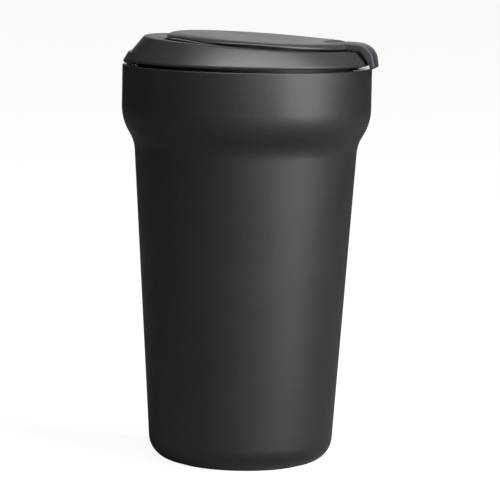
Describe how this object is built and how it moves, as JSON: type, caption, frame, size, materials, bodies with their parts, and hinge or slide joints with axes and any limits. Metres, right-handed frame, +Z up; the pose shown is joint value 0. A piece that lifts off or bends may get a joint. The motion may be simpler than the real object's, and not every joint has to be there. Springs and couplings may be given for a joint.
{
  "type": "insulated travel mug",
  "caption": "Tapered double-wall vacuum mug with a collar, a screw-in lid, and a hinged flip cover whose tab hooks over the rim.",
  "frame": {"origin": "centre of the foot's resting face, on the cup's axis", "axes": "+Z up along the cup's axis, +X towards the finger tab, +Y to the left of someone who faces along +X"},
  "size_m": [0.0919, 0.09, 0.1557],
  "materials": {
    "coated_steel": "fine matt black powder coat",
    "bare_steel": "electropolished inside, polished lip",
    "glass_seal": "fused sealing bead",
    "getter_metal": "sintered grey metal",
    "copper_foil": "thin copper foil",
    "foot_silicone": "matt black silicone",
    "adhesive_film": "translucent adhesive film",
    "seal_silicone": "grey silicone",
    "lid_plastic": "satin black moulded plastic",
    "plug_plastic": "satin black moulded plastic",
    "cover_plastic": "satin black moulded plastic"
  },
  "bodies": {
    "cup": {"outer_shell": "coated_steel", "inner_liner": "bare_steel", "base_plate": "bare_steel", "seal_bead": "glass_seal", "getter": "getter_metal", "reflective_foil": "copper_foil", "foot_pad": "foot_silicone", "pad_adhesive": "adhesive_film"},
    "seal_ring": {"lid_seal": "seal_silicone"},
    "lid": {"lid_shell": "lid_plastic", "lid_plug": "plug_plastic", "spout_gasket": "seal_silicone", "vent_gasket": "seal_silicone", "hinge_pin": "bare_steel"},
    "cover": {"cover_shell": "cover_plastic", "cover_base": "plug_plastic", "spout_stopper": "seal_silicone", "vent_pad": "seal_silicone"}
  },
  "joints": [
    {"name": "lid_lift", "type": "slide", "parent": "cup", "child": "seal_ring", "axis": [0, 0, 1], "range_m": [0, 0.009]},
    {"name": "lid_twist", "type": "hinge", "parent": "seal_ring", "child": "lid", "pos_m": [0, 0, 0.138], "axis": [0, 0, 1], "range_deg": [0, 270]},
    {"name": "cover_flip", "type": "hinge", "parent": "lid", "child": "cover", "pos_m": [-0.03177, 0, 0.15223], "axis": [0, -1, 0], "range_deg": [0, 105]}
  ],
  "couplings": [
    {"joint": "lid_lift", "follows": "lid_twist", "m_per_rad": 0.0019098}
  ]
}
